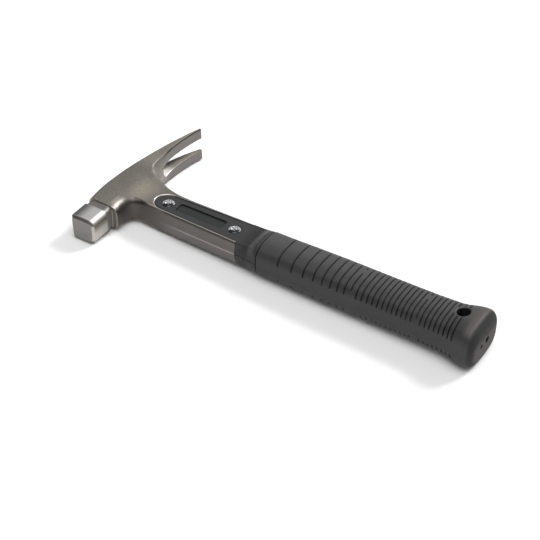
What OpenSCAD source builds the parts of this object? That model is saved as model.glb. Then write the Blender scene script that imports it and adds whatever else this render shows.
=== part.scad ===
// Electrician's hammer lying on its cheek, +Z up.
// X runs from the poll to the butt, Y from the striking face to the claws,
// and the origin is the middle of the striking face.

/* [Poll] */
// Poll, across its flats
poll_w = 22; // [19:0.5:25]
// Radius of the poll's four long corners
poll_r = 6.25; // [3:0.25:7.5]
// Bevel round the striking face
face_bevel = 2; // [0.5:0.1:3]
// Length of the ground poll
poll_l = 18.5; // [15:0.5:20]
// Length of the turned throat behind the poll
throat_l = 6; // [4:0.5:8]
// Depth of the throat below the poll's flats
throat_d = 0.7; // [0.4:0.1:2]

/* [Head] */
// Striking face to the handle's axis
axis_y = 53; // [51:0.5:58]
// Striking face to the tips of the claws
head_l = 143; // [134:0.5:150]
// How far the head's back stands out beyond the poll
back_out = 0.9; // [0.5:0.1:3]
// Poll's axis to the head's hollow side at the shoulder
shoulder_x = 14.8; // [13:0.2:16]
// Roll of the cheek's edge into the poll's fillet
cheek_r = 6.2; // [4:0.2:7]
// Radius of the curve along the head's back
back_r = 262; // [235:1:320]
// Cheek to cheek where the throat meets the head
cheek_throat = 23.6; // [22.5:0.1:25]
// Cheek to cheek in line with the handle
cheek_eye = 24.2; // [23:0.25:26]
// Width over both claw tips
claw_w = 32; // [29:0.5:35]
// Thickness of a claw at its tip
tip_t = 2.5; // [1.5:0.1:3]
// Claw's hollow side, measured from the poll's axis
claw_x = 8.5; // [8:0.1:11]
// Radius of the claw's hollow side
claw_r = 150; // [140:1:260]
// Rounding along each claw's outer edge, on its hollow side
claw_edge = 1.2; // [0.8:0.1:4]
// Fillet between poll and neck
poll_fillet = 9.6; // [7:0.2:10]
// Fillet between claw and neck
claw_fillet = 40; // [36:0.5:41]

/* [Nail slot] */
// Claw tips to the middle of the slot's round root
slot_l = 44.5; // [38:0.5:47]
// Width of the slot at its root
slot_root = 5.8; // [4.8:0.1:7]
// Width of the slot at the tips
slot_tip = 7; // [6:0.1:10]
// Width of the ground bevel on the claw's hollow side
bevel_w = 11.8; // [10.5:0.1:13]
// Slope of that bevel, across for each millimetre of depth
bevel_slope = 0.4; // [0.3:0.01:0.6]

/* [Neck] */
// Width over the flanges at the front screw
neck_w = 21.6; // [21:0.2:24]
// Width over the flanges at their rear end
neck_end_w = 25.8; // [24:0.2:27]
// Thickness of the neck
neck_t = 20.5; // [20:0.25:22.5]
// Height of the forging ridge on each side
ridge = 2.2; // [0.5:0.1:2.6]
// Width of the steel rim beside the handle's tongue
rim = 1.5; // [1:0.1:2.2]
// Bevel on the flanges' edges
rim_bevel = 0.6; // [0.3:0.1:0.9]
// Thickness of the web and the tang
web_t = 8; // [6:0.25:10]
// Poll axis to the flanges' rear end
neck_x = 113.7; // [112:0.5:118]
// Width of the tang
tang_w = 16; // [12:0.5:18]
// Length of the tang behind the flanges
tang_l = 84; // [50:1:120]

/* [Screws] */
// Poll axis to the front screw
screw_x = 43.7; // [42:0.1:46]
// Distance between the screws
screw_pitch = 60.7; // [58:0.1:62]
// Diameter of the screw heads
head_d = 10; // [8:0.1:11]
// Height of the screw heads
head_h = 2.8; // [2.4:0.1:3]
// How far the screw heads stand out of the tongue
head_out = 0.4; // [0:0.05:0.6]
// Thread diameter
thread_d = 5; // [4:0.5:6]
// Diameter of the sleeve nuts
sleeve_d = 7; // [6.8:0.1:8]
// Six-lobe drive, across its lobes
drive_d = 5; // [3.5:0.1:5.5]
// Depth of the drive
drive_h = 1.7; // [1:0.1:1.8]

/* [Handle shells] */
// Clearance between fitted pieces
fit = 0.08; // [0.04:0.01:0.15]
// Tongue's face below the flanges' edges
tongue_drop = 0.2; // [0.1:0.05:0.6]
// Poll axis to the front of the collar
collar_x = 120.5; // [119:0.5:122]
// Length of the collar
collar_l = 12.6; // [10:0.2:12.8]
// Width of the core inside the grip
core_w = 23; // [21:0.5:25]
// Thickness of the core inside the grip
core_t = 19.5; // [18:0.5:21]
// Radius of the core's long corners
core_r = 6; // [3:0.5:8]

/* [Badge] */
// Front screw to the near end of the badge recess
badge_x = 8.8; // [8:0.2:12]
// Length of the badge recess
badge_l = 42.6; // [36:0.2:43]
// Width of the badge recess
badge_w = 9.4; // [7:0.2:12]
// Depth of the badge recess
badge_d = 1.9; // [1.2:0.1:2.4]
// Thickness of the badge
badge_t = 0.8; // [0.5:0.1:1]

/* [Grip] */
// Poll axis to the front of the grip
grip_x = 133.8; // [133.6:0.1:135]
// Length of the grip
grip_l = 181.2; // [176:0.2:188]
// Width of the grip where it is held
grip_w = 34.8; // [33:0.2:38]
// Thickness of the grip where it is held
grip_t = 30.2; // [29:0.2:34]
// Front of the grip, as a share of its held size
grip_front = 0.953; // [0.92:0.001:1]
// Width of the flared butt
butt_w = 44; // [41:0.5:47]
// Thickness of the flared butt
butt_t = 36.6; // [35:0.2:40]
// Radius round the butt's end
butt_r = 6.5; // [5:0.25:9]
// Length of the flare to the butt
flare_l = 22; // [20:0.5:26]
// Diameter of the larger moulding hole in the butt
pin_d = 3.4; // [2:0.1:4]
// Depth of the two moulding holes
pin_h = 3; // [1:0.5:5]
// Fullness of the grip's section, 2 is an ellipse
fullness = 2.9; // [2.6:0.05:3.4]

/* [Grooves] */
// Front of the grip to the first groove
groove_x = 18.6; // [16:0.2:22]
// Number of grooves on each broad side
groove_n = 30; // [20:1:30]
// Closest spacing of the grooves
groove_pitch = 3.7; // [3.4:0.05:3.8]
// Extra spacing at the first groove
groove_extra = 8.2; // [5:0.1:8.4]
// Rate at which the extra spacing dies away
groove_decay = 0.78; // [0.6:0.01:0.79]
// Width of a groove
groove_w = 1.2; // [0.8:0.05:1.6]
// Depth of a groove
groove_d = 0.9; // [0.4:0.05:1.2]
// Half the smooth band left along each side
band = 5.6; // [4:0.1:8]

/* [Hang hole] */
// Butt end to the hang hole
hang_end = 19.9; // [17:0.1:22]
// Hang hole's offset from the handle's axis
hang_off = 2.2; // [0:0.1:3]
// Diameter of the hang hole
hang_d = 9.8; // [8:0.1:11]
// Wall of the soft lining round the hang hole
hang_wall = 1.6; // [1.2:0.1:2.5]

/* [Hidden] */
$fn = 64;
eps = 0.01;
half = poll_w / 2;
shoulder_y = poll_l + throat_l;
back_x = -half - back_out;
corner = (half - poll_r) * sqrt(2) + poll_r;
rear_x = screw_x + screw_pitch;
neck_slope = (neck_end_w - neck_w) / 2 / (neck_x - screw_x);
tongue_z = neck_t / 2 - tongue_drop;
tang_end = neck_x + tang_l;
hang_x = grip_x + grip_l - hang_end;
butt_x = grip_x + grip_l - butt_r;
core_end = hang_x + hang_d / 2 + hang_wall + 3;
claw_fillet_x = claw_x + claw_fillet;
claw_fillet_y = axis_y + neck_w / 2 + claw_fillet + 0.4;
poll_fillet_x = shoulder_x + poll_fillet;
poll_fillet_y = axis_y - neck_w / 2 + 0.8 - poll_fillet;
tip_x = claw_x + pow(head_l - claw_fillet_y, 2) / (2 * claw_r);
plateau_x = claw_fillet_x - 4;
fall = (cheek_eye - neck_t - 0.1) / 2 / (plateau_x - back_x);
seat = tongue_z + head_out - head_h;

// Half the neck's width over the flanges at a distance from the poll's axis.
function neck_y(x) = neck_w / 2 + (x - screw_x) * neck_slope;

// The head's back, and the claw's hollow side.
function back(y) = back_x + back_r - sqrt(back_r * back_r - pow(y - axis_y + 18, 2));
function hollow(y) = claw_x + pow(y - claw_fillet_y, 2) / (2 * claw_r);

// Half the cheek thickness along the head, at its back and at its hollow side.
function cheek_back(y) = lookup(y, [[shoulder_y, cheek_throat / 2], [axis_y - 14, cheek_eye / 2],
    [axis_y + 40, cheek_eye / 2], [axis_y + 64, claw_w / 2 - 3], [head_l, claw_w / 2 - 0.9]]);
function claw_cheek(y) = lookup(y, [[axis_y + 12, neck_t / 2 + 0.05], [axis_y + 27, cheek_eye / 2 + 0.5],
    [axis_y + 38, claw_w / 2 - 2], [axis_y + 45, claw_w / 2 - 1.2], [axis_y + 54, claw_w / 2 - 0.7],
    [axis_y + 68, claw_w / 2 - 0.5], [head_l, claw_w / 2]]);
function cheek_front(y, x1) = y < axis_y + 12 ? cheek_back(y) - fall * (x1 - back_x) : claw_cheek(y);

// Corner radii along the head, at its back and at its hollow side.
function round_back(y) = lookup(y, [[shoulder_y, 5], [axis_y - 10, 3], [axis_y + 30, 2.2], [head_l, tip_t / 3]]);
function round_front(y) = lookup(y, [[shoulder_y, cheek_r], [axis_y - 15, cheek_r], [axis_y - 12, 3.6],
    [axis_y - 10, 0.9], [axis_y + 12, 0.8], [axis_y + 20, 2.4], [axis_y + 30, claw_edge + 5.2],
    [axis_y + 36, claw_edge + 3], [axis_y + 44, claw_edge + 0.4], [axis_y + 55, claw_edge],
    [head_l - 5, claw_edge], [head_l, tip_t / 3]]);

// One station of the head: where it is along Y, and its two sides in X.
function fillet_rows(n) = [for (i = [0:n]) let (a = 76 * i / n)
    [poll_fillet_y + poll_fillet * sin(a), poll_fillet_x - poll_fillet * cos(a)]];
function root_rows(n) = [for (i = [0:n]) let (a = 84 - 84 * i / n)
    [claw_fillet_y - claw_fillet * sin(a), claw_fillet_x - claw_fillet * cos(a)]];
function claw_rows(n) = [for (i = [1:n]) let (y = claw_fillet_y + (head_l - 5 - claw_fillet_y) * i / n)
    [y, hollow(y)]];
tip_rows = [[head_l - 2.4, hollow(head_l - 2.4)], [head_l, tip_x]];
start_rows = [[shoulder_y, shoulder_x - 0.4], [shoulder_y + 2, shoulder_x]];
rows = concat(start_rows, fillet_rows(8), [[axis_y - neck_w / 2 + 1.3, plateau_x]],
              root_rows(14), claw_rows(8), tip_rows);

// The back is drawn in towards the hollow side over the last few millimetres of the claw.
function back_at(y) = let (in = max(0, (y - head_l + 5) / 5))
    back(y) * (1 - in * in) + (tip_x - tip_t) * in * in;

// A ring of the head: four rounded corners, six points each.
function head_ring(y, x1) = let (x0 = back_at(y), h0 = cheek_back(y), h1 = cheek_front(y, x1),
    r0 = min(round_back(y), (x1 - x0) / 2.2), r1 = min(round_front(y), (x1 - x0) / 2.2))
    [for (q = [0:3]) for (i = [0:5]) let (a = 90 * q + 18 * i, left = q == 1 || q == 2, low = q < 2,
        r = left ? r0 : r1, cx = left ? x0 + r0 : x1 - r1, cz = left ? h0 - r0 : h1 - r1)
        [cx + r * cos(a), y, (low ? -cz : cz) - r * sin(a)]];

// A ring of the grip's kind: a full ellipse across the handle, sunk by d where it is grooved.
function oval(x, w, t, k, points) = [for (i = [0:points - 1]) let (a = 360 * i / points,
    y = w / 2 * sign(cos(a)) * pow(abs(cos(a)), 2 / fullness),
    z = t / 2 * sign(sin(a)) * pow(abs(sin(a)), 2 / fullness),
    sunk = k < 0 || abs(z) < groove_end(k) || near_hole(x, y) || in_gap(k, y) ? 0 : groove_d,
    s = 1 - sunk / norm([y, z])) [x, axis_y + y * s, z * s]];

// Two of the grooves are short and broken, as hand marks; the rest end at the side band.
function is_mark(k) = k == 8 || k == 21;
function groove_end(k) = is_mark(k) ? band + 4.5 : band + 1;
function in_gap(k, y) = is_mark(k) && y > 2.5 && y < 7.5;
function near_hole(x, y) = norm([x - hang_x, y - hang_off]) < hang_d / 2 + 2;
function groove_at(k) = grip_x + groove_x + groove_pitch * k
    + groove_extra * (1 - pow(groove_decay, k)) / (1 - groove_decay);

// Share of the held size along the grip, then the flare to the butt.
function swell(x) = lookup((x - grip_x) / grip_l, [[0, grip_front], [0.066, grip_front + 0.002], [0.116, 0.961],
    [0.166, 0.973], [0.259, 0.988], [0.331, 1], [0.579, 1], [0.756, 1.012], [0.8, 1.03], [0.844, 1.046]]);
function flare(x) = let (s = min(1, max(0, (x - butt_x) / flare_l + 1))) s * s * (3 - 2 * s);
function grip_w_at(x) = grip_w * swell(x) * (1 - flare(x)) + butt_w * flare(x);
function grip_t_at(x) = grip_t * swell(x) * (1 - flare(x)) + butt_t * flare(x);

// Skin over a list of rings that all have the same number of points.
module skin(rings) {
    n = len(rings[0]);
    last = len(rings) - 1;
    points = [for (r = rings) for (p = r) p];
    sides = [for (i = [0:last - 1]) for (j = [0:n - 1]) let (a = i * n + j, b = i * n + (j + 1) % n)
        each [[a, b + n, b], [a, a + n, b + n]]];
    ends = [[for (j = [0:n - 1]) j], [for (j = [n - 1:-1:0]) last * n + j]];
    polyhedron(points, concat(sides, ends), convexity = 8);
}

// Half of the neck's section beside its axis: flange edges, bevels and the forging ridge.
// It is drawn from z0 up, or down to the lower cheek as well.
module neck_half(w, z0) {
    t = neck_t / 2;
    c = rim_bevel;
    lower = z0 < 0 ? [[w, c - t], [w - c, -t], [-3, -t]] : [[-3, z0]];
    polygon(concat([[-3, t], [w - c, t], [w, t - c], [w + ridge, max(z0, 0)]], lower));
}

// The tapering neck, from x0 back to its end: one straight prism for each side.
module neck(x0) {
    intersection() {
        for (m = [0, 1])
            translate([screw_x, axis_y, 0])
                mirror([0, m, 0])
                    rotate(atan(neck_slope))
                        translate([x0 - screw_x - 2, 0, 0])
                            rotate([90, 0, 90])
                                linear_extrude(neck_x - x0 + 4)
                                    neck_half(neck_w / 2, -1);
        translate([x0, axis_y - neck_end_w, -neck_t])
            cube([neck_x - x0, 2 * neck_end_w, 2 * neck_t]);
    }
}

// Upper half of the frame behind the flanges, level with them.
module half_frame(z0) {
    for (m = [0, 1])
        translate([neck_x + fit, axis_y, 0])
            mirror([0, m, 0])
                rotate([90, 0, 90])
                    linear_extrude(collar_x + 3 - neck_x)
                        neck_half(neck_end_w / 2, z0);
}

// Upper half of an oval, flat at z0.
function half_oval(x, w, t, z0) = [for (p = oval(x, w, t, -1, 48)) if (p[2] > -eps) [p[0], p[1], max(p[2], z0)]];

// Square with rounded corners, centred.
module round_square(w, h, r) {
    square([w - 2 * r, h], center = true);
    square([w, h - 2 * r], center = true);
    for (x = [-1, 1], y = [-1, 1])
        translate([x * (w / 2 - r), y * (h / 2 - r)])
            circle(r);
}

// Outline of the tongue that lies in each cheek of the neck, drawn in by gap.
module tongue_outline(gap) {
    w0 = neck_y(screw_x) - rim - gap;
    w1 = neck_y(neck_x) - rim - gap;
    translate([screw_x, axis_y])
        circle(w0);
    translate([0, axis_y])
        polygon([[screw_x, -w0], [neck_x + 1, -w1], [neck_x + 1, w1], [screw_x, w0]]);
}

// Outline of the tang behind the web, grown by gap.
module tang_outline(gap) {
    w = tang_w / 2 + gap;
    translate([screw_x, axis_y - w])
        square([tang_end - screw_x - tang_w / 2, 2 * w]);
    translate([tang_end - tang_w / 2, axis_y])
        circle(w);
}

// Ground poll with its bevelled face, then the turned throat.
module poll() {
    intersection() {
        rotate([-90, 0, 0])
            linear_extrude(poll_l)
                round_square(poll_w, poll_w, poll_r);
        linear_extrude(2 * poll_w, center = true)
            face_outline();
        rotate([0, 90, 0])
            linear_extrude(2 * poll_w, center = true)
                face_outline();
        rotate([-90, 0, 0])
            rotate_extrude()
                polygon([[0, 0], [corner - face_bevel, 0], [corner + 1, face_bevel + 1], [corner + 1, poll_l],
                         [0, poll_l]]);
    }
    translate([0, poll_l - 1, 0])
        rotate([-90, 0, 0])
            linear_extrude(throat_l + 3)
                round_square(poll_w - 2 * throat_d, poll_w - 2 * throat_d, poll_r);
}

module face_outline() {
    b = face_bevel;
    polygon([[-half + b, 0], [half - b, 0], [half, b], [half, poll_l - 0.5], [half - 0.5, poll_l],
             [0.5 - half, poll_l], [-half, poll_l - 0.5], [-half, b]]);
}

// Nail slot: a narrow vee with a round root through the claw, and a wider ground bevel
// that follows its hollow side.
module nail_slot() {
    y0 = head_l - slot_l;
    depth = bevel_w / 2 / bevel_slope;
    over = 6;
    wide = bevel_w / 2 + over * bevel_slope;
    translate([-2 * half, 0, 0])
        rotate([90, 0, 90])
            linear_extrude(4 * half) {
                polygon([[y0, -slot_root / 2], [head_l + 1, -slot_tip / 2], [head_l + 1, slot_tip / 2],
                         [y0, slot_root / 2]]);
                translate([y0, 0])
                    circle(d = slot_root);
            }
    skin([for (i = [0:9]) let (y = y0 + (slot_l + 1) * i / 9, x = hollow(max(y, claw_fillet_y)))
        [[x + over, y, -wide], [x - depth, y, 0], [x + over, y, wide]]]);
    translate([claw_x - depth, y0, 0])
        rotate([0, 90, 0])
            cylinder(r1 = 0, r2 = wide, h = depth + over);
}

module forged_head() {
    color([0.5, 0.48, 0.46])
        difference() {
            union() {
                poll();
                skin([for (r = rows) head_ring(r[0], r[1])]);
                neck(half);
                linear_extrude(web_t, center = true)
                    tang_outline(0);
            }
            nail_slot();
            for (m = [0, 1])
                mirror([0, 0, m])
                    translate([0, 0, web_t / 2])
                        linear_extrude(neck_t)
                            tongue_outline(0);
            for (x = [screw_x, rear_x])
                translate([x, axis_y, 0])
                    cylinder(d = sleeve_d + 2 * fit, h = 2 * web_t, center = true);
        }
}

// Core of the handle inside the grip, grown by gap.
module core(gap) {
    translate([grip_x - 2, axis_y, 0])
        rotate([90, 0, 90])
            linear_extrude(core_end - grip_x + 2 + gap)
                round_square(core_w + 2 * gap, core_t + 2 * gap, core_r + gap);
}

// Upper half of that core.
module half_core(z0) {
    translate([grip_x - 2, axis_y, 0])
        rotate([90, 0, 90])
            linear_extrude(core_end - grip_x + 2)
                intersection() {
                    round_square(core_w, core_t, core_r);
                    translate([-core_w, z0])
                        square([2 * core_w, core_t]);
                }
}

// Upper half of the collar ahead of the grip: a low cone that rises from the frame.
module half_collar(z0) {
    w1 = grip_w * grip_front - 0.6;
    t1 = grip_t * grip_front - 0.6;
    x1 = collar_x + collar_l;
    skin([half_oval(collar_x, w1 - 4, t1 - 4, z0), half_oval(collar_x + 1.4, w1 - 1.7, t1 - 1.5, z0),
          half_oval(collar_x + 4, w1 - 0.9, t1 - 0.8, z0), half_oval(x1 - 1, w1, t1, z0),
          half_oval(x1, w1 - 1.8, t1 - 1.8, z0)]);
}

// Half of the hard handle: tongue in the neck, frame, collar and core. Its joint is the mid-plane.
module shell(pocket_d) {
    z0 = web_t / 2 + fit;
    difference() {
        union() {
            translate([0, 0, z0])
                linear_extrude(tongue_z - z0)
                    tongue_outline(fit);
            half_frame(fit / 2);
            half_collar(fit / 2);
            half_core(fit / 2);
        }
        linear_extrude(2 * z0, center = true)
            tang_outline(fit);
        for (x = [screw_x, rear_x])
            translate([x, axis_y, 0]) {
                cylinder(d = pocket_d + 2 * fit, h = neck_t);
                translate([0, 0, seat])
                    cylinder(d = head_d + 2 * fit, h = neck_t);
            }
        translate([screw_x + badge_x + badge_l / 2, axis_y, tongue_z - badge_d])
            linear_extrude(neck_t)
                round_square(badge_l, badge_w, 2.4);
        translate([hang_x, axis_y + hang_off, 0])
            cylinder(r = hang_d / 2 + hang_wall + fit, h = butt_t);
    }
}

module upper_shell() {
    color([0.2, 0.2, 0.21])
        shell(thread_d);
}

module lower_shell() {
    color([0.18, 0.18, 0.19])
        mirror([0, 0, 1])
            shell(sleeve_d);
}

// Soft grip moulded over the core, with the grooves as sunk rings and a lined hang hole.
module grip_sleeve() {
    smooth = concat([for (s = [0.11, 0.27, 0.59, 0.86]) [grip_x + s * groove_x, -1]],
                    [for (s = [0.68, 0.55, 0.41, 0.27, 0.14, 0]) [butt_x - s * flare_l, -1]]);
    grooved = [for (k = [0:groove_n - 1]) for (d = [-1, 0, 1]) [groove_at(k) + d * groove_w / 2, d == 0 ? k : -1]];
    front = [for (p = smooth) if (p[0] < groove_at(0) - groove_w) p];
    rear = [for (p = smooth) if (p[0] > groove_at(groove_n - 1) + groove_w) p];
    rings = [for (p = concat(front, grooved, rear)) oval(p[0], grip_w_at(p[0]), grip_t_at(p[0]), p[1], 44)];
    lip = oval(grip_x, grip_w_at(grip_x) - 1, grip_t_at(grip_x) - 1, -1, 44);
    end = [for (a = [15:15:90]) let (c = 2 * butt_r * (1 - cos(a)))
        oval(butt_x + butt_r * sin(a), butt_w - c, butt_t - c, -1, 44)];
    color([0.25, 0.25, 0.26])
        difference() {
            skin(concat([lip], rings, end));
            difference() {
                core(fit);
                translate([hang_x, axis_y + hang_off, 0])
                    cylinder(r = hang_d / 2 + hang_wall, h = butt_t, center = true);
            }
            translate([hang_x, axis_y + hang_off, 0])
                cylinder(d = hang_d, h = 2 * butt_t, center = true);
            for (y = [2, -7])
                translate([grip_x + grip_l - pin_h, axis_y + y, 0])
                    rotate([0, 90, 0])
                        cylinder(d = y > 0 ? pin_d : 0.65 * pin_d, h = pin_h + 1);
        }
}

// Six-lobe socket in a screw head.
module drive() {
    lobe = drive_d / 7;
    circle(drive_d / 2 - lobe / 2);
    for (a = [0:60:300])
        rotate(a)
            translate([drive_d / 2 - lobe, 0])
                circle(lobe);
}

// Low round head with a bevelled rim, standing on z = 0.
module low_head() {
    rotate_extrude()
        polygon([[0, 0], [head_d / 2, 0], [head_d / 2, head_h - 0.7], [head_d / 2 - 0.9, head_h], [0, head_h]]);
}

module screw(x) {
    color([0.78, 0.78, 0.8])
        translate([x, axis_y, 0])
            difference() {
                union() {
                    translate([0, 0, seat])
                        low_head();
                    translate([0, 0, -web_t / 2])
                        cylinder(d = thread_d, h = seat + web_t / 2 + eps);
                }
                translate([0, 0, seat + head_h - drive_h])
                    linear_extrude(drive_h + 1)
                        drive();
            }
}

module nut(x) {
    color([0.72, 0.72, 0.74])
        translate([x, axis_y, 0])
            mirror([0, 0, 1])
                difference() {
                    union() {
                        translate([0, 0, seat])
                            low_head();
                        translate([0, 0, -web_t / 2])
                            cylinder(d = sleeve_d, h = seat + web_t / 2 + eps);
                    }
                    translate([0, 0, -web_t / 2 - 1])
                        cylinder(d = thread_d + 2 * fit, h = web_t + 2);
                    translate([0, 0, seat + head_h - drive_h])
                        linear_extrude(drive_h + 1)
                            drive();
                }
}

module badge() {
    translate([screw_x + badge_x + badge_l / 2, axis_y, tongue_z - badge_d])
        linear_extrude(badge_t)
            round_square(badge_l - 2 * fit, badge_w - 2 * fit, 2.4 - fit);
}

module front_screw() {
    screw(screw_x);
}

module rear_screw() {
    screw(rear_x);
}

module front_nut() {
    nut(screw_x);
}

module rear_nut() {
    nut(rear_x);
}

module upper_badge() {
    color([0.1, 0.1, 0.11])
        badge();
}

module lower_badge() {
    color([0.1, 0.1, 0.11])
        mirror([0, 0, 1])
            badge();
}

forged_head();
upper_shell();
lower_shell();
grip_sleeve();
front_screw();
rear_screw();
front_nut();
rear_nut();
upper_badge();
lower_badge();
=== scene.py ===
import math

import bpy
import numpy as np
from mathutils import Matrix, Vector


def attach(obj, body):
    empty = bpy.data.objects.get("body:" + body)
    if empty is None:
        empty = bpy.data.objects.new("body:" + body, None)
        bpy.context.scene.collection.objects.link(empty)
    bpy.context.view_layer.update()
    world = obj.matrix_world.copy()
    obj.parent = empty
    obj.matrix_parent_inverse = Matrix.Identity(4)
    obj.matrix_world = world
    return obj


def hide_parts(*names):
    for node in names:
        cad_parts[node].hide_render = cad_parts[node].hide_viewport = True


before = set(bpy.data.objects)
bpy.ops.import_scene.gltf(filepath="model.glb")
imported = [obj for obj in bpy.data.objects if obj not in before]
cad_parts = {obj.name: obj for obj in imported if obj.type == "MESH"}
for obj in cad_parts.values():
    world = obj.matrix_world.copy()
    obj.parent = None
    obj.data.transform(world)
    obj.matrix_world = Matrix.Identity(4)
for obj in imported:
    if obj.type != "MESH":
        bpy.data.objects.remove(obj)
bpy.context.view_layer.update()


# ---------------------------------------------------------------- Forged head
# One drop forging of tool steel: square poll, turned throat, cheeks, split claw, I-section neck, hidden tang.
# It is bead-blasted all over, then the poll is ground and the nail slot is ground to a bright bevel.
# The shape is written as distances in millimetres from its faces, rounded together as the dies leave them.

def join(a, b, r):
    """Two solids run together with a hollow fillet of radius r."""
    return np.maximum(r, np.minimum(a, b)) - np.hypot(np.maximum(r - a, 0), np.maximum(r - b, 0))


def meet(a, b, r):
    """What two solids share, with the edge between them rounded to radius r."""
    return np.minimum(-r, np.maximum(a, b)) + np.hypot(np.maximum(r + a, 0), np.maximum(r + b, 0))


def cut(a, b, r):
    """The first solid less the second, with a rounded edge."""
    return meet(a, -b, r)


def rounded(u, v, half_u, half_v, r):
    """A rectangle with rounded corners."""
    u, v = np.abs(u) - half_u + r, np.abs(v) - half_v + r
    return np.hypot(np.maximum(u, 0), np.maximum(v, 0)) + np.minimum(np.maximum(u, v), 0) - r


def smooth(x, x0, x1):
    """An even step from 0 at x0 to 1 at x1."""
    t = np.clip((x - x0) / (x1 - x0), 0, 1)
    return t * t * (3 - 2 * t)


def bent(x, at, values, r):
    """Values along a line, with the bends between its straight runs eased over a length r each way."""
    return sum(np.interp(x + d * r, at, values) for d in (-1, -0.6, -0.2, 0.2, 0.6, 1)) / 6


def skin(name, solid, xs, ys, zs):
    """Mesh of a solid over a grid of cells. Its corners are drawn onto the surface and take its normals."""
    grid = (xs, ys, zs)
    shape = tuple(len(g) for g in grid)
    inside = np.broadcast_to(solid(xs[:, None, None], ys[None, :, None], zs[None, None, :]), shape) < 0
    within = sum(inside[i:shape[0] - 1 + i, j:shape[1] - 1 + j, k:shape[2] - 1 + k].astype(np.int8)
                 for i in (0, 1) for j in (0, 1) for k in (0, 1))
    cells = np.argwhere((within > 0) & (within < 8))
    number = np.full(within.shape, -1)
    number[tuple(cells.T)] = np.arange(len(cells))
    low = np.stack([grid[k][cells[:, k]] for k in range(3)], 1)
    high = np.stack([grid[k][cells[:, k] + 1] for k in range(3)], 1)
    quads = []
    for k in range(3):
        order = (k, (k + 1) % 3, (k + 2) % 3)
        full, index = np.transpose(inside, order), np.transpose(number, order)
        i, j, m = np.nonzero(full[:-1, 1:-1, 1:-1] != full[1:, 1:-1, 1:-1])
        j, m = j + 1, m + 1
        quad = np.stack([index[i, j - 1, m - 1], index[i, j, m - 1], index[i, j, m], index[i, j - 1, m]], 1)
        outward = full[i, j, m]
        quads.append(np.where(outward[:, None], quad, quad[:, ::-1]))
    quads = np.concatenate(quads)
    feel, stray = 0.01, 0.4 * (high - low)

    def slope(p):
        return np.stack([solid(*(p + d).T) - solid(*(p - d).T) for d in feel * np.eye(3)], 1) / (2 * feel)

    def draw_in(p):
        g = slope(p)
        move = -g * (solid(*p.T) / np.maximum((g * g).sum(1), 0.2))[:, None]
        return np.clip(p + move, low - stray, high + stray)

    p = (low + high) / 2
    for turn in range(3):
        p = draw_in(draw_in(p))
        if turn < 2:
            middle = p[quads].mean(1)
            share = np.bincount(quads.ravel(), minlength=len(p))
            p = np.stack([np.bincount(quads.ravel(), np.repeat(middle[:, k], 4), len(p)) / share
                          for k in range(3)], 1)
    normal = slope(p)
    normal /= np.linalg.norm(normal, axis=1)[:, None]
    mesh = bpy.data.meshes.new(name)
    mesh.from_pydata((p / 1000).tolist(), [], quads.tolist())
    mesh.polygons.foreach_set("use_smooth", np.ones(len(quads), bool))
    mesh.normals_split_custom_set_from_vertices(normal.tolist())
    piece = bpy.data.objects.new(name, mesh)
    bpy.context.scene.collection.objects.link(piece)
    return piece


axis_y = 53.0
screw_x, rear_x, neck_end = 43.7, 104.4, 113.7
bed_half, bed_z, nose_stretch, neck_spread = 9.3, 4, 1.24, 0.03
flange_z, flange_half, ridge_high = 10.25, 10.8, 2.2
tang_half, tang_end, nut_bore = 8, 189.7, 3.58
poll_half, poll_bow, poll_end, poll_bevel = 11, 120, 18.5, 2
throat_half, throat_y, shoulder_y, shoulder_x = 10.3, 22.5, 24.5, 14.8
hollow_x, hollow_y, hollow_curve = 8.5, 104.2, 300
slot_root, slot_bevel, bevel_fall, claw_tip = 98.5, 5.9, 0.4, 142.4


def tongue_outline(x, y):
    """The round-nosed bed for the handle's tongue, sunk in each cheek of the neck."""
    nose = np.hypot((x - screw_x) / nose_stretch, y - axis_y)
    return np.where(x < screw_x, nose, np.abs(y - axis_y) - neck_spread * (x - screw_x)) - bed_half


def tang_outline(x, y):
    return np.where(x < tang_end, np.abs(y - axis_y), np.hypot(x - tang_end, y - axis_y)) - tang_half


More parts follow.
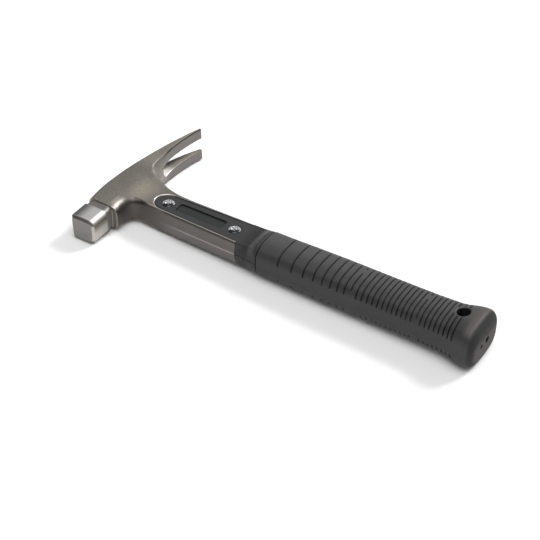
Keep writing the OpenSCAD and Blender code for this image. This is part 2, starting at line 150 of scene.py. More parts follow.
def head_solid(x, y, z):
    side, high = y - axis_y, np.abs(z)
    # Back of the head, drawn in at the claw's tip, and the claw's hollow side.
    drawn = np.clip((y - 138) / 5, 0, 1) ** 2
    back = 250.1 - np.sqrt(np.maximum(262 ** 2 - (y - 35) ** 2, 1))
    back = back + bent(y, [80, 93, 105, 117, 142], [0, 0.8, 1.3, 1.4, 0.3], 4)
    back = back * (1 - drawn) + 11 * drawn
    hollow = hollow_x + np.maximum(y - hollow_y, 0) ** 2 / hollow_curve
    # The neck's flanges with the forging ridge, run into the poll's side and into the claw's root.
    ridge = ridge_high * smooth(x, 30, 62) * (1 - np.maximum(high, 0.6) / flange_z)
    flange = -side - flange_half - neck_spread * (np.maximum(x, 22) - screw_x) - ridge
    poll_side = sum(join(x - shoulder_x, flange, r) for r in (3.5, 8, 12, 16)) / 4
    far_flange = side - np.interp(x, [44, 56, neck_end], [12.9, 12.3, 12.9]) - ridge
    profile = np.where(side < 0, poll_side, join(x - hollow, far_flange, 40))
    # Cheeks: they fall gently from the back to the flanges, and spread over the claw.
    behind = bent(y, [24.5, 39, 80, 93, 105, 117, 142], [11.8, 12.1, 12.2, 13, 13.9, 14.4, 15.2], 6)
    ahead = bent(y, [24.5, 39, 65, 80, 91, 98, 107, 121, 143],
                 [10, 10.3, 10.3, 12.5, 13.9, 14.7, 15.2, 15.4, 15.4], 5)
    front = bent(y, [50, 62, 66, 70, 75, 83, 91, 97, 104.2], [44, 39, 34, 28, 21.3, 14.5, 10.7, 9.2, 8.5], 3)
    front = np.where(y < 98, front, np.maximum(hollow, hollow_x))
    over, even = (x - back) / (front - back), smooth(y, 66, 86)
    lean = smooth(over, 0.18, 0.68) * (1 - even) + np.clip(over, 0, 1) * even
    cheek = high - np.maximum(behind + (ahead - behind) * lean, flange_z)
    # The claw's root is dished: its rim is crisp along the claw and fades into the cheek.
    wide = bent(y, [66, 73, 80, 83, 89, 98.5, 108, 143], [0.5, 3, 6.2, 7.3, 4.9, 1.1, 0.85, 0.8], 2)
    steep = np.interp(y, [70, 78, 84, 98, 108], [0.8, 1.2, 1.9, 1.6, 1])
    dish = (cheek + steep * (profile + wide)) / np.hypot(steep, 1)
    claw = meet(cheek, dish, np.interp(y, [66, 69, 73, 77, 80, 84, 95], [1.1, 1.6, 3, 3.5, 1.2, 0.9, 0.4]))
    claw = meet(claw, profile, np.interp(y, [66, 73, 83, 98, 108, 143], [1.1, 3, 8, 2, 0.6, 0.5]))
    roll = meet(cheek, profile, np.interp(x, [17, 23, 30, 40], [6.2, 4.2, 1.8, 0.9]))
    body = np.where(side < 0, roll, claw)
    body = meet(body, back - x, np.interp(y, [24.5, 43, 83, 143], [5, 3, 2.2, 0.8]))
    body = meet(meet(body, shoulder_y - y, 0.5), y - claw_tip, 0.6)
    body = meet(body, x - neck_end, 0.3)
    # Throat and poll: the poll's four sides are slightly crowned.
    throat = np.maximum(rounded(x, z, throat_half, throat_half, 4.2), np.abs(y - throat_y) - 5)
    body = join(body, throat, 0.8)
    middle = poll_bow - poll_half
    square = meet(np.hypot(np.abs(x) + middle, z) - poll_bow, np.hypot(high + middle, x) - poll_bow,
                  np.interp(x, [-8, 8], [1.8, 5.2]))
    poll = meet(meet(square, (square - y + poll_bevel) * 0.7071, 0.3), -y, 0.3)
    poll = meet(poll, y - poll_end, 1.2)
    body = np.minimum(body, poll)
    # Nail slot with its ground bevel.
    out = np.where(y < slot_root, np.hypot(y - slot_root, z), high)
    slot = out - np.interp(y, [slot_root, 144], [2.9, 3.5])
    bevel = np.maximum((out - slot_bevel - bevel_fall * (x - hollow)) * 0.93, x - 22)
    body = cut(body, join(slot, bevel, 0.6), 0.35)
    # Beds for the tongues, the tang and the web's bores.
    body = cut(body, np.maximum(tongue_outline(x, y), bed_z - high), np.interp(x, [38, 46], [1.0, 0.6]))
    body = np.minimum(body, meet(np.maximum(tang_outline(x, y), 100 - x), high - bed_z, 0.5))
    for hole in (screw_x, rear_x):
        body = np.maximum(body, nut_bore - np.hypot(x - hole, y - axis_y))
    return body


head = skin("forged_head_skin", head_solid,
            np.concatenate([np.arange(-12.8, 115.2, 0.55), np.arange(115.4, 200, 3)]),
            np.arange(-1, 144.6, 0.55), np.arange(-17.05, 17.4, 0.55))


class Lead:
    """One output of a material's nodes. Sums on it are written as Python and become Math nodes."""

    def __init__(self, tree, socket=None):
        self.tree, self.socket = tree, socket

    def add(self, kind, settings=None, inputs=None, out=0):
        node = self.tree.nodes.new(kind)
        for name, value in (settings or {}).items():
            if name == "stops":
                while len(node.color_ramp.elements) < len(value):
                    node.color_ramp.elements.new(0.5)
                for stop, (place, colour) in zip(node.color_ramp.elements, value):
                    stop.position, stop.color = place, (*colour, 1)
            else:
                setattr(node, name, value)
        for name, value in (inputs or {}).items():
            if isinstance(value, Lead):
                self.tree.links.new(value.socket, node.inputs[name])
            else:
                node.inputs[name].default_value = value
        return Lead(self.tree, node.outputs[out])

    def sum(self, operation, a, b=0.0):
        return self.add("ShaderNodeMath", {"operation": operation}, {0: a, 1: b})

    def __add__(self, other):
        return self.sum("ADD", self, other)

    def __radd__(self, other):
        return self.sum("ADD", other, self)

    def __sub__(self, other):
        return self.sum("SUBTRACT", self, other)

    def __rsub__(self, other):
        return self.sum("SUBTRACT", other, self)

    def __mul__(self, other):
        return self.sum("MULTIPLY", self, other)

    def __rmul__(self, other):
        return self.sum("MULTIPLY", other, self)

    def __truediv__(self, other):
        return self.sum("DIVIDE", self, other)

    def __abs__(self):
        return self.sum("ABSOLUTE", self)

    def step(self, low, high):
        """0 below low, 1 above high, and an even rise between."""
        return self.add("ShaderNodeMapRange", {"interpolation_type": "SMOOTHSTEP"},
                        {"Value": self, "From Min": low, "From Max": high})

    def below(self, low, high):
        """1 below low, 0 above high, and an even fall between."""
        return 1 - self.step(low, high)

    def band(self, low, full, fading, high):
        """1 from full to fading, 0 outside low to high."""
        return self.step(low, full) * self.below(fading, high)

    def distance(self, u, v):
        return self.sum("SQRT", u * u + v * v)

    def blend(self, first, second):
        """First colour where this is 0, second where it is 1."""
        colours = {6 + i: (*c, 1) if isinstance(c, tuple) else c for i, c in enumerate((first, second))}
        return self.add("ShaderNodeMix", {"data_type": "RGBA"}, {0: self, **colours}, out=2)

    def shades(self, *stops):
        """A run of colours, each with the value it stands at."""
        return self.add("ShaderNodeValToRGB", {"stops": stops}, {0: self})

    def speckle(self, place, scale, detail):
        return self.add("ShaderNodeTexNoise", None,
                        {"Vector": place, "Scale": scale, "Detail": detail, "Roughness": 0.6})

    def stretch(self, place, by):
        return self.add("ShaderNodeVectorMath", {"operation": "MULTIPLY"}, {0: place, 1: by})

    def relief(self, height, strength):
        return self.add("ShaderNodeBump", None, {"Height": height, "Strength": strength, "Distance": 0.0003})


def finish_of(name, **constants):
    """A new material, its shader, a lead into its nodes, and places on the piece in metres, whole and by axis."""
    material = bpy.data.materials.new(name)
    material.use_nodes = True
    tree = material.node_tree
    shader = tree.nodes["Principled BSDF"]
    for socket, value in constants.items():
        shader.inputs[socket.replace("_", " ")].default_value = value
    lead = Lead(tree)
    place = lead.add("ShaderNodeTexCoord", out=3)
    axes = [lead.add("ShaderNodeSeparateXYZ", None, {0: place}, out=k) for k in range(3)]
    return material, shader, lead, place, axes


def wire(shader, **inputs):
    """Leads into a shader's sockets."""
    for socket, lead in inputs.items():
        lead.tree.links.new(lead.socket, shader.inputs[socket.replace("_", " ")])


forged, shader, lead, place, (x, y, z) = finish_of("forged_steel", Metallic=1.0)
grain = lead.speckle(place, 1500, 3)
cloud = lead.speckle(place, 38, 2)
streak = lead.speckle(lead.stretch(place, (50, 5200, 50)), 1, 2)
scaly = lead.speckle(lead.stretch(place, (120, 1500, 1500)), 1, 3)
pitted = grain * 0.45 + lead.speckle(place, 480, 2) * 0.3 + cloud * 0.25
facing = lead.add("ShaderNodeTexCoord", out=1)
level = abs(lead.add("ShaderNodeSeparateXYZ", None, {0: facing}, out=2))
from_nose, from_axis = x - screw_x / 1000, y - axis_y / 1000
# Where each finish lies: the ground poll and its face, the throat and the slot's bevel; and where shade is
# painted: the slot's deep wall and the faces turned sideways on the neck.
ground = y.below(0.0179, 0.0184)
struck = y.below(0.0001, 0.0004)
throat = y.band(0.0182, 0.0186, 0.0242, 0.0246)
past_curl = lead.sum("MAXIMUM", y - hollow_y / 1000, 0)
past_root = lead.sum("MINIMUM", y - slot_root / 1000, 0)
across = lead.distance(past_root, z)
depth = hollow_x / 1000 + past_curl * past_curl / (hollow_curve / 1000) - x
rooted = y.step(0.0905, 0.0915)
slot_shade = across.below(0.0036, 0.004) * depth.step(0.0078, 0.0086) * rooted
bevel = (across + bevel_fall * depth).below(0.0059, 0.0061) * rooted * (1 - slot_shade)
# Painted shade goes on faces turned sideways along the neck, and up over the cheek's roll near the neck.
by_neck = y.band(0.0275, 0.033, 0.064, 0.078)
sides = level.below(0.35 + 0.45 * by_neck, 0.7 + 0.29 * by_neck) * y.band(0.0245, 0.026, 0.064, 0.08)
# The blasted skin, with a painted warm reflection as a soft patch on the cheek, and painted light making the
# claw's upward faces lighter and warmer.
blasted = pitted.shades((0.30, (0.217, 0.199, 0.178)), (0.52, (0.302, 0.278, 0.249)), (0.75, (0.41, 0.378, 0.34)))
warm = pitted.shades((0.30, (0.315, 0.286, 0.242)), (0.52, (0.445, 0.406, 0.344)), (0.75, (0.57, 0.524, 0.448)))
patch_x, patch_y = x - 0.019, y - 0.056
warm_reflection = lead.sum("SQRT", patch_x * patch_x + patch_y * patch_y * 0.4).below(0.003, 0.0155)
colour = warm_reflection.blend(blasted, warm)
colour = (y.step(0.074, 0.092) * level.step(0.93, 0.985)).blend(colour, warm)
# Painted shade: the neck's sides, scaly, are darker, and their lower half is painted lighter as light from the
# floor. Deeper painted shade in the fillet, the roll's highlight painted out with shade where the cheek turns
# over, and a painted highlight as a line along the forging ridge.
lit_lower_half = z.below(-0.0012, 0.0004) * x.step(0.032, 0.056)
side_shade = lit_lower_half.blend(scaly.blend((0.13, 0.12, 0.112), (0.18, 0.167, 0.156)),
                    scaly.blend((0.16, 0.15, 0.143), (0.215, 0.203, 0.194)))
colour = sides.blend(colour, side_shade)
fillet_shade = sides * x.below(0.024, 0.062)
colour = (fillet_shade * 0.42).blend(colour, (0.07, 0.064, 0.058))
roll_shade = level.band(0.45, 0.7, 0.94, 0.99) * y.below(0.045, 0.048) * x.below(0.028, 0.036)
reach = lead.sum("MAXIMUM", x.step(0.0125, 0.0155) * y.step(0.0265, 0.03),
                 x.step(0.009, 0.0115) * y.step(0.036, 0.04))
colour = (roll_shade * reach * 0.85).blend(colour, (0.13, 0.12, 0.106))
ridge_highlight = abs(z).below(0.0003, 0.0009) * x.step(0.045, 0.068) * sides
colour = ridge_highlight.blend(colour, (0.33, 0.315, 0.3))
# Painted highlights on the rims round the tongue's bed: a crescent at its nose, the land on the near side and,
# duller, on the far side, and a line along the near edge where cheek meets neck; painted shade under the near
# rim.
lip = lead.distance(from_nose / nose_stretch, from_axis).below(0.01, 0.0105) * x.below(0.041, 0.045)
colour = lip.blend(colour, (0.55, 0.52, 0.48))
rim_highlight = abs(from_axis).below(0.0121, 0.0133) * x.step(0.043, 0.05) * level.step(0.8, 0.97)
colour = rim_highlight.blend(colour, y.step(0.056, 0.06).blend((0.55, 0.505, 0.45), (0.25, 0.243, 0.235)))
edge = axis_y / 1000 - y - neck_spread * from_nose
edge = edge.band(0.0088, 0.0098, 0.0112, 0.0118) * level.step(0.5, 0.9)
colour = (edge * x.band(0.026, 0.036, 0.045, 0.05)).blend(colour, (0.5, 0.465, 0.41))
brow = z.step(0.0078, 0.0092) * level.below(0.35, 0.7) * x.step(0.04, 0.05) * sides
colour = brow.blend(colour, (0.075, 0.07, 0.066))
# Between the claws; a painted highlight where the shoulder's roll begins; painted shade on the claw's rim towards
# its tip; the throat; painted shade on the slot's deep wall.
inner = level.below(0.35, 0.8) * y.step(0.092, 0.104)
colour = inner.blend(colour, scaly.blend((0.172, 0.16, 0.154), (0.225, 0.211, 0.203)))
shoulder_highlight = y.band(0.026, 0.029, 0.034, 0.041) * x.band(0.0055, 0.0078, 0.0105, 0.0145) * level.step(0.5, 0.8)
colour = (shoulder_highlight * 0.8).blend(colour, (0.54, 0.505, 0.46))
claw_rim_shade = level.band(0.2, 0.4, 0.92, 0.985) * y.step(0.094, 0.106)
colour = (claw_rim_shade * (1 - bevel)).blend(colour, (0.07, 0.064, 0.06))
colour = throat.blend(colour, (0.27, 0.254, 0.238))
colour = slot_shade.blend(colour, (0.05, 0.047, 0.045))
# The ground poll: streaked side and top. Painted reflection darkens the side's upper half, painted shade darkens
# the top on the side away from the handle, a painted highlight brightens the rounded corners and painted shade
# the lower rounding. The face's bevelled edge is painted dark where it faces up or down and bright where it faces
# sideways, as reflections; then the face.
bright = streak.shades((0.3, (0.43, 0.405, 0.376)), (0.7, (0.57, 0.541, 0.507)))
bright = z.step(-0.001, 0.0055).blend(bright, (0.24, 0.216, 0.188))
top = streak.shades((0.3, (0.58, 0.564, 0.543)), (0.7, (0.70, 0.684, 0.663)))
top = x.step(-0.0085, 0.001).blend((0.19, 0.186, 0.182), top)
corner_light_and_shade = level.step(0.2, 0.75).blend(bright, (0.56, 0.538, 0.508))
corner_light_and_shade = z.step(-0.0099, -0.0075).blend((0.14, 0.13, 0.12), corner_light_and_shade)
colour = ground.blend(colour, level.step(0.9, 0.992).blend(corner_light_and_shade, top))
# The slot's bevel: painted bright near its root as light and duller towards the tip, with painted shade where it
# runs deep and on the upper claw's side.
slope = y.step(0.097, 0.112).blend((0.6, 0.575, 0.54), (0.17, 0.156, 0.136))
shaded = lead.sum("MAXIMUM", depth.step(0.0055, 0.0085), z.step(0.0008, 0.003))
colour = bevel.blend(colour, shaded.blend(slope, (0.05, 0.047, 0.043)))
face_bevel_light = level.step(0.1, 0.6).blend((0.5, 0.484, 0.46), (0.2, 0.19, 0.18))
colour = y.below(0.0016, 0.0022).blend(colour, face_bevel_light)
colour = struck.blend(colour, (0.31, 0.301, 0.288))
wire(shader, Base_Color=colour,
     Roughness=0.46 + (grain - 0.5) * 0.2 + 0.06 * ground - 0.04 * bevel + throat * 0.06 + struck * 0.1,
     Normal=lead.relief(grain * (1 - ground) * (1 - bevel) + streak * ground * 0.5, 0.25))
head.data.materials.append(forged)
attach(head, "root")
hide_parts("forged_head")


# ---------------------------------------------------------------- Handle shells
# Two moulded halves of glass-filled nylon, joined on the mid-plane and clamped to the neck by the two screws.
# Each has a tongue in the neck's bed, a frame behind the flanges, a collar and half of the core in the grip.
# The moulds are finely spark-textured; the floor of the long recess is left smooth.

tongue_z, play = 10.05, 0.08
badge_x, badge_long, badge_wide, badge_round, recess_z = 73.8, 21.3, 4.7, 2.4, 8.15
collar_end, head_seat, screw_bore = 133.1, 7.65, 2.58
core_half, core_thick, core_round = 11.5, 9.75, 6
hang_x, hang_y, lining_r = 295.1, 55.2, 6.5
fullness = 2.9


def full_oval(y, z, half_w, half_t):
    """A section with fuller corners than an ellipse, as the grip and the collar have."""
    u, v = np.abs(y - axis_y) / half_w, np.abs(z) / half_t
    return ((u ** fullness + v ** fullness + 1e-9) ** (1 / fullness) - 1) * np.minimum(half_w, half_t)


def shell_solid(bore):
    def solid(x, y, z):
        side = np.abs(y - axis_y)
        tongue = meet(np.maximum(tongue_outline(x, y) + 0.25, bed_z + play - z), z - tongue_z, 0.35)
        tongue = np.maximum(tongue, x - 116)
        back = meet(side - 12.9 - ridge_high * (1 - np.abs(z) / flange_z), z - flange_z, 0.7)
        back = np.maximum(back, np.abs(x - 120.6) - 6.82)
        along = [120.5, 124, 130, 132.4, 132.9, collar_end]
        half_w = np.interp(x, along, [14.28, 14.9, 16.1, 16.28, 15.9, 15.38])
        half_t = np.interp(x, along, [9.8, 10.5, 13.8, 14.09, 13.7, 13.19])
        collar = np.maximum(full_oval(y, z, half_w, half_t), np.abs(x - 126.8) - 6.3)
        outer = join(np.minimum(tongue, back), collar, 2)
        outer = np.maximum(outer, x - collar_end)
        core = rounded(y - axis_y, z, core_half, core_thick, core_round)
        whole = np.minimum(outer, np.maximum(core, np.abs(x - 218.2) - 86.4))
        whole = meet(whole, 0.04 - z, 0.3)
        tang_space = np.maximum(tang_outline(x, y) - play, z - bed_z - play)
        whole = np.maximum(whole, -np.maximum(tang_space, screw_x - x))
        for hole in (screw_x, rear_x):
            r = np.hypot(x - hole, y - axis_y)
            whole = cut(whole, np.maximum(r - 5.08, head_seat - z), 0.2)
            whole = np.maximum(whole, bore - r)
        recess = rounded(x - badge_x, y - axis_y, badge_long, badge_wide, badge_round)
        whole = cut(whole, np.maximum(recess, recess_z - z), 0.2)
        return np.maximum(whole, lining_r + play - np.hypot(x - hang_x, y - hang_y))
    return solid


moulded, shader, lead, place, (x, y, z) = finish_of("textured_nylon", Specular_IOR_Level=0.3)
spark = lead.speckle(place, 2300, 2)
cloud = lead.speckle(place, 90, 2)
charcoal = (spark * 0.6 + cloud * 0.4).shades((0.3, (0.033, 0.033, 0.034)), (0.7, (0.046, 0.046, 0.048)))
# Painted shade in the hollow of the frame before the collar, and painted light on the collar's ramp.
charcoal = x.band(0.112, 0.1225, 0.1235, 0.1255).blend(charcoal, (0.025, 0.025, 0.026))
collar_ramp_light = x.band(0.1242, 0.1265, 0.1285, 0.1315) * z.step(0.004, 0.009)
charcoal = collar_ramp_light.blend(charcoal, (0.074, 0.074, 0.077))
wire(shader, Base_Color=charcoal, Roughness=0.46 + (cloud - 0.5) * 0.15, Normal=lead.relief(spark, 0.25))

shell_x = np.concatenate([np.arange(31.1, 134.2, 0.5), np.arange(134.5, 306.5, 3)])
shell_y, shell_z = np.arange(36, 70.3, 0.5), np.arange(-0.85, 15.3, 0.5)
upper = skin("upper_shell_skin", shell_solid(screw_bore), shell_x, shell_y, shell_z)
lower = skin("lower_shell_skin", lambda x, y, z: shell_solid(nut_bore)(x, y, -z),
             shell_x, shell_y, -shell_z[::-1])
for shell, node in ((upper, "upper_shell"), (lower, "lower_shell")):
    shell.data.materials.append(moulded)
    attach(shell, "root")
    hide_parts(node)


# ---------------------------------------------------------------- Recess plates
# A thin bare plate of smooth black plastic in the recess of each tongue.
# It is snapped in from outside and lies on the recess floor, with its face below the tongue's.

plate_thick = 0.8


def plate_solid(x, y, z):
    outline = rounded(x - badge_x, y - axis_y, badge_long - play, badge_wide - play, badge_round - play)
    return meet(outline, np.abs(z - recess_z - plate_thick / 2) - plate_thick / 2, 0.15)


plate_black, shader, lead, place, _ = finish_of("plate_plastic")
wipe = lead.speckle(lead.stretch(place, (40, 900, 900)), 1, 2)
black = wipe.shades((0.3, (0.012, 0.014, 0.014)), (0.7, (0.022, 0.024, 0.024)))
wire(shader, Base_Color=black, Roughness=0.28 + wipe * 0.12)
plate_x, plate_y = np.arange(51.9, 95.8, 0.5), np.arange(47.6, 58.5, 0.5)
plate_z = np.arange(7.9, 9.3, 0.25)
for name, flip in (("upper_badge", 1), ("lower_badge", -1)):
    plate = skin(name + "_plate", lambda x, y, z: plate_solid(x, y, flip * z), plate_x, plate_y,
                 np.sort(flip * plate_z))
    plate.data.materials.append(plate_black)
    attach(plate, "root")
    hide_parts(name)


# ---------------------------------------------------------------- Screws and sleeve nuts
# Low-head screws of zinc-plated steel, each driven into a sleeve nut from the other cheek.
# The turned heads have a slight dome and a six-lobe socket, and stand just proud of the tongue.

head_r, head_top, dome_fall = 5, 11, 1.1
screw_shank, nut_shank = 2.5, 3.5


def head_of_screw(x, y, z, shank, bore):
    r, turn = np.hypot(x, y), np.arctan2(y, x)
    dome = z - head_top + dome_fall * (r / head_r) ** 2
    top = meet(meet(r - head_r, dome, 0.55), head_seat - z, 0.2)
    whole = np.minimum(top, np.maximum(np.maximum(r - shank, -4 - z), z - 8))
    fold = np.abs((turn + math.pi / 6) % (math.pi / 3) - math.pi / 6)
    lobe = np.hypot(r * np.cos(fold) - 1.79, r * np.sin(fold)) - 0.71
    socket = np.maximum(join(r - 1.95, lobe, 0.3), 8.75 + 0.25 * (1 - r / 2.5) - z)
    whole = cut(whole, socket, 0.12)
    return whole if bore is None else np.maximum(whole, -np.maximum(r - bore, z - 4))


zinc, shader, lead, place, (x, y, z) = finish_of("zinc_plate", Metallic=1.0)
cloud = lead.speckle(place, 700, 3)
plated = cloud.shades((0.3, (0.74, 0.75, 0.76)), (0.7, (0.92, 0.92, 0.93)))
# Painted reflection: the near half of each screw head is dark, the far half plated bright.
from_screw = x - screw_x / 1000 - x.step(0.07, 0.08) * ((rear_x - screw_x) / 1000)
lit_far_half = ((y - axis_y / 1000) * 0.71 - from_screw * 0.45).step(-0.0018, 0.0003)
wire(shader, Base_Color=lit_far_half.blend((0.07, 0.07, 0.074), plated), Roughness=0.2 + cloud * 0.14)
turned_z = np.concatenate([np.arange(-4.7, 6.9, 0.6), np.arange(7.1, 11, 0.22)])
turned_r = np.arange(-5.5, 5.6, 0.22)
for name, at, flip, shank, bore in (("front_screw", screw_x, 1, screw_shank, None),
                                    ("rear_screw", rear_x, 1, screw_shank, None),
                                    ("front_nut", screw_x, -1, nut_shank, screw_bore),
                                    ("rear_nut", rear_x, -1, nut_shank, screw_bore)):
    fixing = skin(name + "_turned", lambda x, y, z: head_of_screw(x - at, y - axis_y, flip * z, shank, bore),
                  turned_r + at, turned_r + axis_y, np.sort(flip * turned_z))
    fixing.data.materials.append(zinc)
    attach(fixing, "root")
    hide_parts(name)


# ---------------------------------------------------------------- Soft grip
# Thermoplastic rubber moulded over the core in one shot: ribbed on both broad sides, plain along the edges.
# It swells to a flared butt with a lined hang hole, and two small holes where the core was held in the mould.

grip_x, grip_w, grip_t = 133.8, 34.8, 30.2
butt_x, butt_r, butt_w, butt_t = 308.5, 6.5, 44, 36.6
groove_deep, short_grooves = 0.9, (8, 21)
hang_r, hang_lip = 4.9, 1.2
pins = ((2, 2.5), (-7, 1.6))
groove_at = [152.4 + 3.7 * k + 8.2 * (1 - 0.78 ** k) / 0.22 for k in range(30)]


def butt_thick(x):
    return butt_t - 14 * (1 - np.sqrt(1 - np.clip((x - butt_x + 1) / (butt_r + 1), 0, 1) ** 2))


def grip_size(x):
    """Width and thickness of the grip at a place along it."""
    swell = np.interp(x - grip_x, [0, 12, 21, 30, 47, 60, 105, 137, 145, 153],
                      [0.953, 0.955, 0.961, 0.973, 0.988, 1, 1, 1.012, 1.03, 1.046])
    flare, rise = smooth(x, butt_x - 22, butt_x), smooth(x, butt_x - 22, butt_x - 1)
    return grip_w * swell * (1 - flare) + butt_w * flare, grip_t * swell * (1 - rise) + butt_thick(x) * rise


def oval(a, w, t):
    c, s = np.cos(a), np.sin(a)
    power = 2 / fullness
    return w / 2 * np.sign(c) * np.abs(c) ** power, t / 2 * np.sign(s) * np.abs(s) ** power


def oval_angles(count):
    """Angles that lay points evenly round the grip's section."""
    a = np.linspace(0, 2 * math.pi, 20001)
    y, z = oval(a, grip_w, grip_t)
    run = np.concatenate([[0], np.cumsum(np.hypot(np.diff(y), np.diff(z)))])
    return np.interp(np.arange(count) / count * run[-1], run, a)


# Rings along the grip: its eased front, the ribs with close rings across each groove, and the rounded butt.
around = oval_angles(184)
profile = [-1.0, -0.74, -0.6, -0.46, -0.3, 0, 0.3, 0.46, 0.6, 0.74, 1.0]
rows = [(g + d, k, d) for k, g in enumerate(groove_at) for d in profile]
taken = np.array([r[0] for r in rows])
rows += [(v, -1, 0) for v in np.concatenate([np.arange(134.6, 152, 1.2), np.arange(152, butt_x, 0.8)])
         if np.abs(taken - v).min() > 0.5]
rows.sort()
rings = []
front_w, front_t = grip_size(np.array(grip_x))
for b in np.radians((0, 30, 60, 90)):
    rings.append((grip_x + 0.5 * (1 - math.cos(b)), front_w - 1 + math.sin(b), front_t - 1 + math.sin(b), -1, 0))
rings += [(v, *grip_size(np.array(v)), k, d) for v, k, d in rows]
for b in np.radians(np.arange(0, 91, 6)):
    v = butt_x + butt_r * math.sin(b)
    rings.append((v, butt_w - 2 * butt_r * (1 - math.cos(b)), butt_thick(v), -1, 0))
points, groove_shading = [], []
for v, w, t, k, d in rings:
    py, pz = oval(around, w, t)
    sunk = np.zeros(len(py))
    if k >= 0:
        starts, full = (9.9, 10.6) if k in short_grooves else (5.9, 6.7)
        sunk = groove_deep * (1 - smooth(abs(d), 0.34, 0.72))
        sunk = sunk * smooth(np.abs(pz) - 0.5 * (pz < 0), starts, full)
        if k in short_grooves:
            sunk = sunk * (1 - smooth(py, 2.2, 2.9) * (1 - smooth(py, 7.1, 7.8)))
        sunk = sunk * smooth(np.hypot(v - hang_x, py - hang_y + axis_y), 6.4, 7.2)
        share = 1 - sunk / np.hypot(py, pz)
        py, pz = py * share, pz * share
    lip = np.clip(hang_r + hang_lip - np.hypot(v - hang_x, py - hang_y + axis_y), 0, hang_lip)
    eased = hang_lip - np.sqrt(hang_lip ** 2 - lip * lip)
    pz = pz - np.sign(pz) * eased * (np.abs(pz) > 8)
    points.append(np.stack([np.full(len(py), v), py + axis_y, pz], 1))
    # Shares of the painted shade in the grooves, weaker on the lower side.
    groove_shading.append(sunk / groove_deep * np.where(pz < 0, 0.3, 1))
back_middle, front_middle = points[-1].mean(0), points[0].mean(0)
back_rings = [back_middle + (points[-1] - back_middle) * s for s in (0.88, 0.7, 0.45, 0.2)]
front_rings = [front_middle + (points[0] - front_middle) * s for s in (0.4, 0.8)]
points = front_rings + points + back_rings
n, m = len(around), len(points)
flat = np.concatenate([np.concatenate(points), [front_middle, back_middle]])
faces = [(i * n + j, i * n + (j + 1) % n, (i + 1) * n + (j + 1) % n, (i + 1) * n + j)
         for i in range(m - 1) for j in range(n)]
faces += [(m * n, (j + 1) % n, j) for j in range(n)]
faces += [(m * n + 1, (m - 1) * n + j, (m - 1) * n + (j + 1) % n) for j in range(n)]


def solid_piece(name, points, faces):
    mesh = bpy.data.meshes.new(name)
    mesh.from_pydata((np.asarray(points) / 1000).tolist(), [], faces)
    piece = bpy.data.objects.new(name, mesh)
    bpy.context.scene.collection.objects.link(piece)
    return piece


def prism(name, outline, place_of, low, high):
    """A closed bar with the given outline, from low to high along its length."""
    count = len(outline)
    ends = [place_of(u, v, w) for w in (low, high) for u, v in outline]
    sides = [(j, (j + 1) % count, count + (j + 1) % count, count + j) for j in range(count)]
    return solid_piece(name, ends, [tuple(range(count))[::-1], tuple(range(count, 2 * count)), *sides])


def along_grip(u, v, w):
    return w, u, v


def upright(u, v, w):
    return u, v, w


def circle(u, v, r, count=64):
    turns = [2 * math.pi * i / count for i in range(count)]
    return [(u + r * math.cos(a), v + r * math.sin(a)) for a in turns]


def carve(piece, tool, operation):
    step = piece.modifiers.new("carve", "BOOLEAN")
    step.object, step.operation, step.solver = tool, operation, "EXACT"
    done = bpy.data.meshes.new_from_object(piece.evaluated_get(bpy.context.evaluated_depsgraph_get()))
    piece.modifiers.clear()
    piece.data = done
    bpy.data.objects.remove(tool)


grip = solid_piece("grip_sleeve_moulded", flat, faces)
# The groove shares go on the grip as its hollow attribute, for the painted shade.
groove_shading = np.concatenate([np.zeros(n * len(front_rings)), *groove_shading, np.zeros(n * len(back_rings) + 2)])
grip.data.attributes.new("hollow", "FLOAT", "POINT").data.foreach_set("value", groove_shading.astype(np.float32))
bar = []
for cu, cv, start in ((5.58, 3.83, 0), (-5.58, 3.83, 90), (-5.58, -3.83, 180), (5.58, -3.83, 270)):
    for a in np.radians(np.arange(start, start + 91, 10)):
        bar.append((axis_y + cu + core_round * math.cos(a), cv + core_round * math.sin(a)))
carve(grip, prism("core_space", bar, along_grip, 130, 304.7), "DIFFERENCE")
carve(grip, prism("hang_lining", circle(hang_x, hang_y, lining_r), upright, -11.5, 11.5), "UNION")
carve(grip, prism("hang_bore", circle(hang_x, hang_y, hang_r), upright, -30, 30), "DIFFERENCE")
for drop, r in pins:
    carve(grip, prism("mould_pin", circle(axis_y + drop, 0, r, 32), along_grip, 312, 320), "DIFFERENCE")
grip.data.polygons.foreach_set("use_smooth", np.ones(len(grip.data.polygons), bool))
grip.data.set_sharp_from_angle(angle=math.radians(50))

rubber, shader, lead, place, (x, y, z) = finish_of("grip_rubber", Specular_IOR_Level=0.42)
spark = lead.speckle(place, 1900, 2)
cloud = lead.speckle(place, 60, 3)
drag = lead.speckle(lead.stretch(place, (300, 260, 2600)), 1, 2)
at_end = x.step(0.3138, 0.3148) * z.below(0.001, 0.009)
dark = (spark * 0.5 + cloud * 0.5).shades((0.3, (0.033, 0.0325, 0.0335)), (0.7, (0.044, 0.0435, 0.045)))
# Painted light: the top of the grip is lighter.
top_light = z.step(0.004, 0.0145) * y.step(0.042, 0.056)
dark = top_light.blend(dark, (0.067, 0.066, 0.067))
# Painted highlight along the crest of the butt's flare, and painted shade over the upper part of its rounded end.
crest_highlight = x.band(0.3025, 0.3065, 0.309, 0.3115) * z.step(0.0115, 0.017)
dark = crest_highlight.blend(dark, (0.082, 0.073, 0.07))
dark = (x.step(0.3095, 0.312) * z.step(-0.004, 0.006)).blend(dark, (0.024, 0.0225, 0.0225))
# Painted shade in the grooves, weaker in the lower ones.
groove_shade = lead.add("ShaderNodeAttribute", {"attribute_name": "hollow"}, out=2).step(0.25, 0.8)
dark = groove_shade.blend(dark, (0.009, 0.009, 0.01))
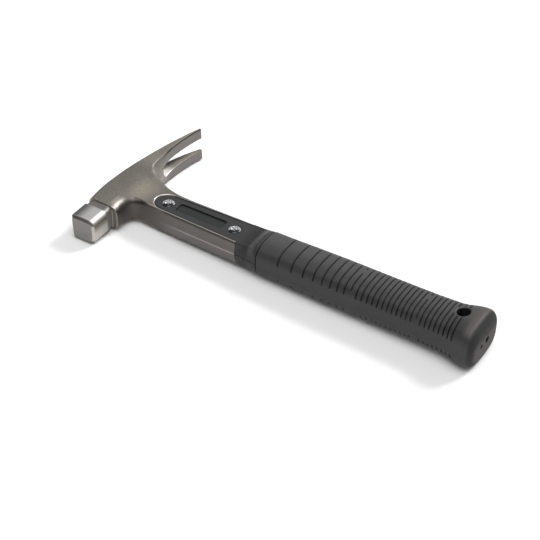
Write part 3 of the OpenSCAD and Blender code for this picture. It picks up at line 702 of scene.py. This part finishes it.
# Painted shade inside the hang hole.
bore = lead.distance(x - hang_x / 1000, y - hang_y / 1000)
dark = bore.below(0.005, 0.0056).blend(dark, (0.009, 0.009, 0.009))
# The end face is lighter and streaked below mid-height.
dark = at_end.blend(dark, drag.blend((0.046, 0.042, 0.041), (0.1, 0.092, 0.089)))
# Painted shade in the two mould-pin holes.
for drop, r in pins:
    pin = lead.distance(y - (axis_y + drop) / 1000, z).below(r / 1000, r / 1000 + 0.0003)
    dark = (x.step(0.309, 0.311) * pin).blend(dark, (0.008, 0.007, 0.007))
wire(shader, Base_Color=dark, Roughness=0.5 + (cloud - 0.5) * 0.2 + x.step(0.309, 0.312) * 0.35,
     Normal=lead.relief(spark * (1 - at_end) + drag * at_end, 0.3))
grip.data.materials.append(rubber)
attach(grip, "root")
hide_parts("grip_sleeve")


# ---------------------------------------------------------------- Floor, light and camera
# A pale sheet under the hammer, which rests on the poll, the lower claw and the butt, so the sheet leans.
# A soft lamp from the far right, a broad one overhead, and a pale far wall for the steel to mirror.
# The camera is a long lens from the poll's side.

floor_drop, lean_x, lean_y, reach = 0.01125, 0.0186, 0.0315, 2
corners = ((-reach, -reach), (reach, -reach), (reach, reach), (-reach, reach))
sheet = bpy.data.meshes.new("floor")
sheet.from_pydata([(a, b, -floor_drop - lean_x * a - lean_y * b) for a, b in corners], [], [(0, 1, 2, 3)])
floor = bpy.data.objects.new("floor", sheet)
bpy.context.scene.collection.objects.link(floor)
paper = bpy.data.materials.new("paper")
paper.use_nodes = True
paper.node_tree.nodes.remove(paper.node_tree.nodes["Principled BSDF"])
lead = Lead(paper.node_tree)
seen = lead.add("ShaderNodeLightPath", out=0)
gloss = lead.add("ShaderNodeLightPath", out=3)
through = lead.add("ShaderNodeLightPath", out=6)
glow = (seen + gloss + through) * 0.05
white = lead.add("ShaderNodeEmission", None, {"Color": (1, 1, 1, 1), "Strength": glow})
matt = lead.add("ShaderNodeBsdfDiffuse", None, {"Color": (0.95, 0.95, 0.95, 1)})
surface = lead.add("ShaderNodeAddShader", None, {0: matt, 1: white})
wire(paper.node_tree.nodes["Material Output"], Surface=surface)
sheet.materials.append(paper)

world = bpy.data.worlds.new("surround")
bpy.context.scene.world = world
world.use_nodes = True
lead = Lead(world.node_tree)
away = lead.add("ShaderNodeTexCoord", out=0)
beyond, height = (lead.add("ShaderNodeSeparateXYZ", None, {0: away}, out=k) for k in (1, 2))
wall = height.band(0.05, 0.3, 0.75, 0.92) * beyond.step(-0.2, 0.45)
sky = wall.blend((0.07, 0.07, 0.07), (0.5, 0.5, 0.5))
world.node_tree.nodes["Background"].inputs["Strength"].default_value = 1
wire(world.node_tree.nodes["Background"], Color=sky)

for name, strength, spread, toward in (("key", 1.8, 15, (0.33, 0.70, 0.633)),
                                       ("overhead", 2.0, 48, (0.125, -0.195, 0.973))):
    lamp = bpy.data.lights.new(name, "SUN")
    lamp.energy, lamp.angle = strength, math.radians(spread)
    sun = bpy.data.objects.new(name, lamp)
    bpy.context.scene.collection.objects.link(sun)
    sun.rotation_mode = "QUATERNION"
    sun.rotation_quaternion = Vector(toward).to_track_quat("Z", "Y")

turn, lift = math.radians(32.35), math.radians(40.26)
back = Vector((math.sin(turn) * math.cos(lift), -math.cos(turn) * math.cos(lift), math.sin(lift)))
right = Vector((math.cos(turn), math.sin(turn), 0))
up = back.cross(right)
front_screw_top = Vector((screw_x / 1000, axis_y / 1000, 0.011))
lens = bpy.data.cameras.new("camera")
lens.lens, lens.sensor_width, lens.clip_start = 100, 36, 0.05
camera = bpy.data.objects.new("camera", lens)
bpy.context.scene.collection.objects.link(camera)
spot = front_screw_top + 1.15385 * (back + 0.0676 * right - 0.0454 * up)
camera.matrix_world = Matrix([[right[i], up[i], back[i], spot[i]] for i in range(3)] + [[0, 0, 0, 1]])
bpy.context.scene.camera = camera
bpy.context.scene.view_settings.view_transform = "Standard"
